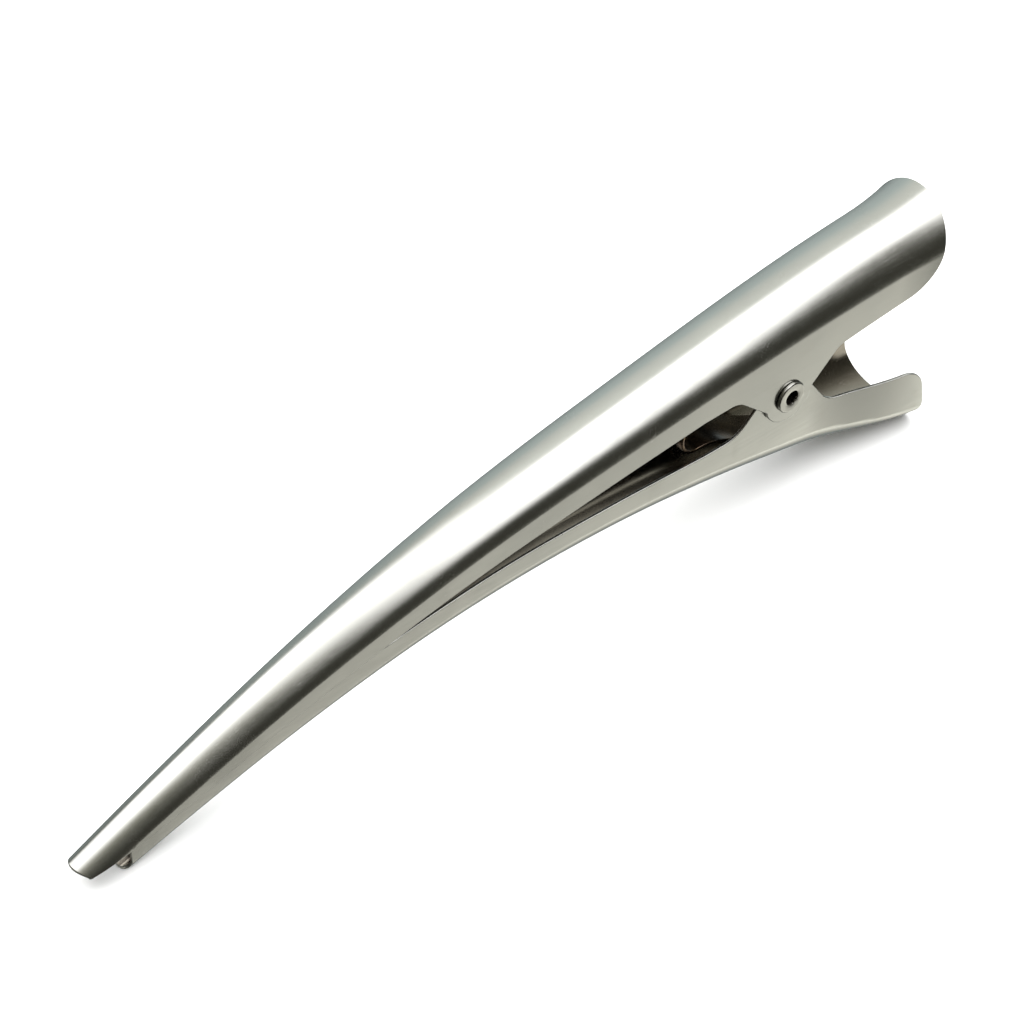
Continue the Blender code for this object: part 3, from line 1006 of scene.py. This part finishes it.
@dataclass
class LowerJaw(PressedJaw):
    """The channel inside the upper jaw, which flares out into the lower finger handle."""

    facing: int = -1
    tip: float = 100.5 * MM
    end: float = 24.0 * MM
    end_flare: float = 1.9 * MM
    flare_start: float = 4 * MM
    bottom_round: float = 0.67
    bottom_flat: float = 0.24
    tip_fullness: float = 0.295 * MM
    front_fillet: float = 5.0 * MM
    back_fillet: float = 4.0 * MM
    front_start: float = -13 * MM
    handle_edge: float = -5.3 * MM
    handle_edge_end: float = -7.8 * MM
    handle_lean: float = 0.15
    handle_corner: float = 4.2 * MM
    lobe: float = 4.0 * MM
    front: Ear = field(default_factory=lambda: Ear(44, -3.85 * MM))
    back: Ear = field(default_factory=lambda: Ear(56, 3.2 * MM))
    bend: Curve = Curve((
        (-101, -14.7), (-92, -12.1), (-75, -7.8), (-56, -4.6), (-42, -3.8),
        (-24, -4.6), (-11, -6.4), (2, -9.0), (14, -11.55), (26, -13.9),
    ))
    edge: Curve = Curve((
        (-102, -12.6), (-85, -7.6), (-70, -4.2), (-60, -2.75), (-47, -1.55), (-28, -1.75),
        (-13, -2.65),
    ))

    def half_width(self, x: np.ndarray) -> np.ndarray:
        """Returns half of the outer width."""
        nested = self.half_widths.at(x) - self.sheet - self.nest_gap
        return nested + self.end_flare * flare(x, self.flare_start, self.end - self.flare_start)

    def bend_at(self, x: np.ndarray) -> np.ndarray:
        """Returns the height of the line where the round bottom meets the walls."""
        return self.bend.at(x)

    def sweep(self, x: np.ndarray) -> np.ndarray:
        """Returns the mean radius of the round corner between the bottom and a wall."""
        return self.half_width(x) * (1 - self.bottom_flat + self.bottom_round) / 2

    def round_length(self, x: np.ndarray) -> np.ndarray:
        """Returns the length from the middle of the bottom to a wall."""
        return self.half_width(x) * self.bottom_flat + self.sweep(x) * math.pi / 2

    def section(self, x: np.ndarray, s: np.ndarray, depth: float) -> tuple[np.ndarray, np.ndarray]:
        """Bends the blank round the channel's bottom and up its walls.

        Args:
            x: Places along the clip.
            s: Distances round the section from the middle of the bottom.
            depth: How far under the outer face.

        Returns:
            Distances from the middle plane, and heights.
        """
        width = self.half_width(x)
        flat = width * self.bottom_flat
        turn = np.clip((s - flat) / self.sweep(x), 0, math.pi / 2)
        up = np.maximum(s - self.round_length(x), 0)
        across = np.minimum(s, flat) + (width - flat - depth) * np.sin(turn)
        return across, self.bend_at(x) - (self.bottom_round * width - depth) * np.cos(turn) + up

    def nose(self) -> np.ndarray:
        """Draws the rounded tip from the middle of the bottom to the wall's edge.

        Returns:
            (x, s) points.
        """
        width = float(self.half_width(np.array([-self.tip]))[0])
        start = np.array([-self.tip])
        flat, sweep = width * self.bottom_flat, float(self.sweep(start)[0])
        turns = np.radians(np.linspace(0, 90, self.nose_steps))
        across = np.concatenate([[0, flat / 2], flat + (width - flat) * np.sin(turns)])
        s = np.concatenate([[0, flat / 2], flat + sweep * turns])
        radius = width + self.tip_fullness
        x = radius - self.tip - np.sqrt(radius**2 - across**2)
        top = self.wall_place(np.array([[x[-1], float(self.edge.at(x[-1:])[0])]]))
        return np.concatenate([np.stack([x, s], 1), top])

    def handle_end(self) -> np.ndarray:
        """Draws the handle's end from the wall down to the middle of the bottom.

        Returns:
            (x, s) points.
        """
        turns = np.radians(np.linspace(90, 0, self.end_steps))
        x = np.full(len(turns), self.end)
        level = self.bend_at(np.array([self.end]))[0]
        for _ in range(4):
            z = self.bend_at(x) - self.half_width(x) * self.bottom_round * np.cos(turns)
            x = self.end - self.handle_lean * (z - level)
        s = self.half_width(x) * self.bottom_flat + self.sweep(x) * turns
        return np.concatenate([np.stack([x, s], 1), [[x[-1], 0]]])

    def half_outline(self) -> np.ndarray:
        """Draws half of the blank: tip, wall edge, ear, handle.

        Returns:
            (x, s) points.
        """
        nose, gap = self.nose(), self.rim_step
        run = np.linspace(nose[-1, 0] + gap, self.front_start - gap, self.edge_steps)
        wall = self.wall_place(np.stack([run, self.edge.at(run)], 1))
        level = float(self.edge.at(np.array([self.front_start]))[0])
        front_corner = (self.front.x_at(1, level), level)
        back_corner = (self.back.x_at(1, self.handle_edge), self.handle_edge)
        turns = self.front.turn(self.lobe), self.back.turn(self.lobe)
        lobe = arc((0, 0), self.lobe, 90 + turns[0], 90 - turns[1])
        bend = float(self.bend_at(np.array([self.end]))[0])
        heights = (self.handle_edge_end, bend - 2 * MM)
        ends = [(self.end - self.handle_lean * (z - bend), z) for z in heights]
        side = np.concatenate([
            rounded((self.front_start, level), front_corner, lobe[0], self.front_fillet),
            lobe,
            rounded(lobe[-1], back_corner, ends[0], self.back_fillet),
            rounded(back_corner, ends[0], ends[1], self.handle_corner),
        ])
        ear = self.wall_place(side)
        bottom = self.handle_end()
        return np.concatenate([nose, wall, ear, bottom[bottom[:, 1] < ear[-1, 1] - self.end_room]])


@dataclass
class PivotRivet:
    """The tubular rivet: a round body with both ends rolled out, and a lip that tore a little."""

    bore: float = 1.0 * MM
    body: float = 1.5 * MM
    head: float = 2.24 * MM
    head_height: float = 0.36 * MM
    rim_round: float = 0.2 * MM
    lip_round: float = 0.12 * MM
    dish: float = 0.004 * MM
    dish_start: float = 0.4 * MM
    dish_end: float = 0.15 * MM
    # How far past the bore's radius the painted shade of the bore reaches.
    painted_shade_reach: float = 0.036 * MM
    gap: float = 0.04 * MM
    steps: int = 128
    tears: tuple[tuple[float, float, float], ...] = (
        (-62, 14, 0.34), (-30, 11, 0.22), (-8, 8, 0.10),
    )

    def profile(self, seat: float) -> tuple[np.ndarray, np.ndarray]:
        """Draws one end's section, from inside the bore to under the head.

        Args:
            seat: Distance of the head's underside from the middle plane.

        Returns:
            (radius, distance) points, and how much of a tear each point takes.
        """
        face = seat + self.head_height
        floor = face - self.dish
        lip = arc((self.bore + self.lip_round, floor - self.lip_round), self.lip_round, 180, 95)
        turns = np.radians(np.linspace(90, 0, 10))
        crest, r = self.head - self.rim_round, self.rim_round
        rim = np.stack([crest + r * np.cos(turns), face - r + r * np.sin(turns)], 1)
        before = np.array([
            (crest - self.dish_start, floor), (crest - self.dish_end, floor + 0.7 * self.dish)
        ])
        under = np.array([(self.head, seat), (self.body, seat), (self.body, seat / 2)])
        levels = (seat / 2, seat - 0.3 * MM, floor - 0.2 * MM)
        inner = np.array([(self.bore, level) for level in levels])
        points = np.concatenate([inner, lip, before, rim, under])
        tear = np.zeros(len(points))
        tear[2] = 0.35
        tear[3:3 + len(lip)] = np.linspace(1.0, 0.0, len(lip))
        return points, tear

    def torn(self, angles: np.ndarray) -> np.ndarray:
        """Returns how far the lip reaches into the bore at each angle, in metres."""
        reach = np.zeros(len(angles))
        for middle, width, amount in self.tears:
            off = (np.degrees(angles) - middle + 180) % 360 - 180
            reach += amount * MM * np.clip(1 - np.abs(off) / width, 0, 1)
        return reach

    def build(self, jaw: UpperJaw) -> bpy.types.Object:
        """Turns the rivet.

        Args:
            jaw: The jaw that the heads sit on.

        Returns:
            The piece.
        """
        seat = float(jaw.half_width(np.array([self.head]))[0]) + self.gap
        half, tear = self.profile(seat)
        section = np.concatenate([half * [1, -1], half[::-1]])
        tearing = np.concatenate([tear, tear[::-1] * 0.3])
        angles = 2 * math.pi * np.arange(self.steps) / self.steps
        reach = self.torn(angles)
        rows = []
        for angle, into in zip(angles, reach):
            radius = section[:, 0] - into * tearing
            across, up = radius * math.cos(angle), radius * math.sin(angle)
            rows.append(np.stack([across, section[:, 1], up], 1))
        count, faces = len(section), []
        for k in range(self.steps):
            a, b = k * count, (k + 1) % self.steps * count
            for i in range(count):
                j = (i + 1) % count
                faces.append((a + i, b + i, b + j, a + j))
        piece = mesh_object("rivet_tube", np.concatenate(rows), faces, None)
        # Painted shade: the faces in and just round the bore take the near-black bore colour.
        bore_end = self.bore + self.painted_shade_reach
        for face in piece.data.polygons:
            if math.hypot(face.center.x, face.center.z) < bore_end:
                face.material_index = 1
        return piece

    def dress(self, piece: bpy.types.Object, workshop: Workshop) -> None:
        """Gives the rivet its nickel, with painted shade in its bore."""
        workshop.coat(piece, [RIVET_NICKEL, BORE_PAINTED_SHADE])


@dataclass
class LeafSpring:
    """The bent strip inside the clip, with a loop ahead of the rivet and a leg on each jaw."""

    width: float = 6.4 * MM
    thickness: float = 0.45 * MM
    gap: float = 0.1 * MM
    loop_centre: tuple[float, float] = (-13.5 * MM, 0.2 * MM)
    loop_radius: float = 2.6 * MM
    lower_end: float = 4.5 * MM
    upper_end: float = 13.0 * MM
    leg_steps: int = 40
    corner: float = 0.12 * MM

    def wall_height(self, jaw: PressedJaw, x: float) -> float:
        """Finds where a leg's middle line lies against a jaw.

        Args:
            jaw: The jaw that the leg pushes on.
            x: The place along the clip.

        Returns:
            The height.
        """
        s = np.linspace(0, float(jaw.round_length(np.array([x]))[0]), 400)
        across, height = jaw.section(np.full(len(s), x), s, jaw.sheet)
        wall = float(np.interp(self.width / 2, across, height))
        return wall - jaw.facing * (self.gap + self.thickness / 2)

    def leg(self, start: np.ndarray, end: float, jaw: PressedJaw) -> np.ndarray:
        """Draws a leg from the loop to where it lies on its jaw.

        Args:
            start: Where the loop ends.
            end: The leg's far end, along the clip.
            jaw: The jaw that it pushes on.

        Returns:
            Points of its middle line.
        """
        ahead = 1 * MM
        last = self.wall_height(jaw, end)
        slope = (last - self.wall_height(jaw, end - ahead)) / ahead
        far = np.array((end, last))
        reach = (end - start[0]) / 3
        b, c = start + (reach, 0), far - (reach, reach * slope)
        t = np.linspace(0, 1, self.leg_steps)[:, None]
        left = 1 - t
        return left**3 * start + 3 * left**2 * t * b + 3 * left * t * t * c + t**3 * far

    def build(self, upper: UpperJaw, lower: LowerJaw) -> bpy.types.Object:
        """Bends the strip.

        Args:
            upper: The jaw that its upper leg lies against.
            lower: The jaw that its lower leg lies against.

        Returns:
            The piece.
        """
        loop = arc(self.loop_centre, self.loop_radius, 270, 90)
        lower_leg = self.leg(loop[0], self.lower_end, lower)
        upper_leg = self.leg(loop[-1], self.upper_end, upper)
        path = np.concatenate([lower_leg[:0:-1], loop, upper_leg[1:]])
        ways = unit(np.gradient(path, axis=0))
        offs = np.stack([-ways[:, 1], ways[:, 0]], 1)
        w, t, r = self.width / 2, self.thickness / 2, self.corner
        quarter = np.radians(EDGE_TURNS)
        corner = [(w - r + r * math.cos(a), t - r + r * math.sin(a)) for a in quarter]
        half = corner + [(-y, d) for y, d in corner[::-1]]
        ring = half + [(-y, -d) for y, d in half]
        rows, count, faces = [], len(ring), []
        for point, off in zip(path, offs):
            rows.append([(point[0] + off[0] * d, y, point[1] + off[1] * d) for y, d in ring])
        for k in range(len(path) - 1):
            for i in range(count):
                j = (i + 1) % count
                a, b = k * count, (k + 1) * count
                faces.append((a + i, a + j, b + j, b + i))
        last = (len(path) - 1) * count
        faces += [tuple(range(count)), tuple(range(last + count - 1, last - 1, -1))]
        points = np.concatenate([np.array(row) for row in rows])
        return mesh_object("spring_strip", points, faces, None)

    def dress(self, piece: bpy.types.Object, workshop: Workshop) -> None:
        """Gives the strip its temper colours."""
        workshop.coat(piece, [TEMPERED_STEEL])


@dataclass
class SectioningClip:
    """The whole clip: two jaws, the rivet and the spring."""

    workshop: Workshop
    stand: Stand = field(default_factory=Stand)
    upper: UpperJaw = field(default_factory=UpperJaw)
    lower: LowerJaw = field(default_factory=LowerJaw)
    rivet: PivotRivet = field(default_factory=PivotRivet)
    spring: LeafSpring = field(default_factory=LeafSpring)

    def set_down(self, piece: bpy.types.Object, node: str) -> None:
        """Sets a piece down in its place and says what it stands for.

        Args:
            piece: The piece.
            node: The CAD node that it stands for.
        """
        piece.data.transform(self.stand.matrix())
        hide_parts(node)
        LOG.info("%s: %d faces, stands for %s", piece.name, len(piece.data.polygons), node)

    def build(self) -> None:
        """Builds and dresses all four pieces, and hangs the jaws and the rivet on their bodies."""
        upper, lower = self.upper.build("upper_sheet"), self.lower.build("lower_sheet")
        rivet, strip = self.rivet.build(self.upper), self.spring.build(self.upper, self.lower)
        for maker, piece, node, slot in (
            (self.upper, upper, "upper_jaw", Slot.JAW),
            (self.lower, lower, "lower_jaw", Slot.JAW),
            (self.rivet, rivet, "pivot_rivet", Slot.RIVET),
            (self.spring, strip, "leaf_spring", Slot.SPRING),
        ):
            maker.dress(piece, self.workshop)
            self.set_down(piece, node)
        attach(upper, Body.UPPER.value)
        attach(lower, Body.LOWER.value)
        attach(rivet, Body.UPPER.value)
        x, z = self.spring.loop_centre
        reach = self.spring.loop_radius
        start, end = (self.stand.matrix() @ Vector((x, 0, z + way * reach)) for way in (-1, 1))
        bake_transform(strip)


@dataclass
class Studio:
    """A pale floor under a wide soft light that hangs over the near right of the clip.

    The light's edge and the room's tones are given by direction: azimuth 0 is towards -Y and
    90 towards +X, and elevation is above the horizon, both in degrees.
    """

    light_edge: tuple[tuple[float, float], ...] = (
        (-180, 46), (-177, 32), (-174, 24), (-168, 20), (-157, 31), (-139, 44), (-110, 54),
        (-62, 58), (-42, 63), (-25, 63), (-10, 54), (1, 40), (7, 23), (12, 9), (20, 2), (28, 21),
        (32, 27), (37, 33), (39.5, 30), (42, 26), (50, 31), (60, 38), (100, 48), (107, 56),
        (112, 70), (117, 78), (140, 78), (160, 75), (168, 69), (174, 60), (180, 46),
    )
    edge_softness: tuple[tuple[float, float], ...] = (
        (-180, 10), (-150, 10), (-110, 12), (-60, 18), (-20, 24), (0, 22), (10, 14), (18, 11),
        (25, 8.5), (34, 6.5), (60, 7), (110, 6), (150, 6), (170, 8), (180, 10),
    )
    light_strength: float = 2.2
    floor_edge: tuple[tuple[float, float], ...] = (
        (-180, -35), (-60, -60), (20, -54), (27, -49.5), (31.6, -47.4), (37, -45.2),
        (42, -43.6), (46.5, -40.6), (49.3, -38.9), (70, -30), (180, -35),
    )
    floor_blur: float = 2.5
    floor_tones: tuple[tuple[float, float], ...] = (
        (-90, 0.12), (-78, 0.17), (-66, 0.34), (-57, 0.60), (-50, 1.04), (-45, 1.42), (90, 1.42),
    )
    near_tones: tuple[tuple[float, float], ...] = (
        (-90, 0.05), (-15, 0.045), (0, 0.065), (20, 0.11), (45, 0.26), (90, 0.6),
    )
    far_tones: tuple[tuple[float, float], ...] = (
        (-90, 0.24), (-30, 0.28), (-12, 0.42), (0, 0.54), (15, 0.61), (25, 0.67), (36, 0.76),
        (49, 0.82), (64, 0.88), (90, 1.0),
    )
    far_share: tuple[tuple[float, float], ...] = (
        (-180, 0.5), (-172, 0.1), (-160, 0), (70, 0), (104, 1), (160, 1), (168, 0.8), (180, 0.5),
    )
    warm: tuple[float, float, float] = (1.0, 0.995, 0.90)
    shade: tuple[float, float, float] = (1.0, 0.99, 0.80)
    cool: tuple[float, float, float] = (0.87, 1.0, 0.99)
    neutral: tuple[float, float, float] = (0.97, 1.0, 0.94)
    cool_band: tuple[float, float] = (15.0, 45.0)
    softbox_side: float = 1.30
    softbox_power: float = 12.0
    softbox_place: tuple[float, float, float] = (0.02, 0.05, 0.70)
    floor_side: float = 6.0
    aim: Vector = field(default_factory=lambda: Vector((-32.95, 9.26, -10.62)) * MM)
    azimuth: float = -41.59
    elevation: float = 43.96
    roll: float = 1.152
    distance: float = 0.355
    lens: float = 99.98

    def build(self, pivot: Vector) -> None:
        """Sets up the room, the floor, the light and the camera.

        Args:
            pivot: The middle of the rivet, which the camera's aim is measured from.
        """
        self.room()
        self.floor()
        self.key_light()
        self.camera(pivot)

    def degrees_ramp(self, bench: NodeBench, angle: object, stops: tuple, full: float) -> object:
        """Adds a ramp over an angle.

        Args:
            bench: Where to add it.
            angle: The angle's socket, in degrees.
            stops: (degrees, value) pairs.
            full: The angle at the ramp's end; it starts at minus that.

        Returns:
            The ramp's output.
        """
        share = bench.math("MULTIPLY_ADD", angle, 0.5 / full, 0.5)
        low = min(value for _, value in stops)
        reach = max(value for _, value in stops) - low
        shares = [((place + full) / (2 * full), (value - low) / reach) for place, value in stops]
        return bench.math("MULTIPLY_ADD", bench.ramp(share, shares), reach, low)

    def room(self) -> None:
        """Paints the room's light by direction."""
        world = bpy.data.worlds.new("studio_room")
        world.use_nodes = True
        bpy.context.scene.world = world
        bench = NodeBench(world.node_tree)
        parts = bench.add("SeparateXYZ", Vector=bench.add("TexCoord").outputs["Generated"])
        x, y, z = parts.outputs
        elevation = bench.math("DEGREES", bench.math("ARCSINE", z))
        azimuth = bench.math("DEGREES", bench.math("ARCTAN2", x, bench.math("MULTIPLY", y, -1.0)))
        edge, softness, floor_edge, far_share = (
            self.degrees_ramp(bench, azimuth, stops, 180)
            for stops in (self.light_edge, self.edge_softness, self.floor_edge, self.far_share)
        )
        near, far, floor = (
            self.degrees_ramp(bench, elevation, stops, 90)
            for stops in (self.near_tones, self.far_tones, self.floor_tones)
        )
        over = bench.math("DIVIDE", bench.math("SUBTRACT", elevation, edge), softness)
        lit = bench.spread(over, -1.0, 1.0)
        over_floor = bench.math("SUBTRACT", elevation, floor_edge)
        above = bench.spread(over_floor, -self.floor_blur, self.floor_blur)
        floor, near = self.tinted(bench, floor, self.warm), self.tinted(bench, near, self.shade)
        near = bench.mix("MIX", above, floor, near)
        high = bench.spread(elevation, *self.cool_band)
        far = self.tinted(bench, far, bench.mix("MIX", high, self.cool, self.neutral))
        room = bench.mix("MIX", far_share, near, far)
        light = (self.light_strength,) * 3
        background = bench.add("Background", Color=bench.mix("MIX", lit, room, light), Strength=1.0)
        bench.add("OutputWorld", Surface=background.outputs[0])

    def tinted(self, bench: NodeBench, tone: object, tint: object) -> bpy.types.NodeSocket:
        """Gives a grey tone a tint.

        Args:
            bench: Where to add the node.
            tone: The tone's socket.
            tint: A colour or a colour's socket.

        Returns:
            The tinted tone.
        """
        return bench.mix("MULTIPLY", 1.0, tone, tint)

    def floor(self) -> None:
        """Lays the floor. It is left out of reflections, so that the metal mirrors the room."""
        bm = bmesh.new()
        bmesh.ops.create_grid(bm, x_segments=8, y_segments=8, size=self.floor_side / 2)
        mesh = bpy.data.meshes.new("studio_floor")
        bm.to_mesh(mesh)
        bm.free()
        floor = bpy.data.objects.new("studio_floor", mesh)
        bpy.context.scene.collection.objects.link(floor)
        floor.location.z = -0.02 * MM
        material = bpy.data.materials.new("pale_floor")
        material.use_nodes = True
        bench = NodeBench(material.node_tree)
        place = bench.add("TexCoord").outputs["Object"]
        cloud = bench.add("TexNoise", Vector=place, Scale=9.0, Detail=3.0).outputs[0]
        colour = bench.mix("MIX", cloud, (0.90, 0.90, 0.90), (0.93, 0.93, 0.93))
        shader = bench.add("BsdfPrincipled", Base_Color=colour, Roughness=0.85)
        bench.add("OutputMaterial", Surface=shader.outputs[0])
        mesh.materials.append(material)
        floor.visible_glossy = False

    def key_light(self) -> None:
        """Hangs the soft light that gives the floor its shadows. It isn't seen in reflections."""
        data = bpy.data.lights.new("overhead_softbox", "AREA")
        data.shape = "SQUARE"
        data.size = self.softbox_side
        data.energy = self.softbox_power
        light = bpy.data.objects.new("overhead_softbox", data)
        bpy.context.scene.collection.objects.link(light)
        light.location = self.softbox_place
        light.visible_glossy = False

    def camera(self, pivot: Vector) -> None:
        """Places the camera.

        Args:
            pivot: The middle of the rivet.
        """
        a, e = math.radians(self.azimuth), math.radians(self.elevation)
        back = Vector((math.sin(a) * math.cos(e), -math.cos(a) * math.cos(e), math.sin(e)))
        side = Vector((math.cos(a), math.sin(a), 0))
        turn = Matrix((side, back.cross(side), back)).transposed()
        data = bpy.data.cameras.new("camera")
        data.lens, data.sensor_width = self.lens, 36.0
        data.clip_start, data.clip_end = 0.01, 20.0
        camera = bpy.data.objects.new("camera", data)
        bpy.context.scene.collection.objects.link(camera)
        placed = turn.to_4x4() @ Matrix.Rotation(math.radians(self.roll), 4, "Z")
        camera.matrix_world = Matrix.Translation(pivot + self.aim + back * self.distance) @ placed
        bpy.context.scene.camera = camera


def main() -> None:
    """Builds the clip and its studio."""
    logging.basicConfig(level=logging.INFO, format="%(message)s")
    clip = SectioningClip(Workshop())
    clip.build()
    Studio().build(clip.stand.pivot)
    bpy.context.scene.view_settings.view_transform = "Standard"


if __name__ == "__main__":
    main()
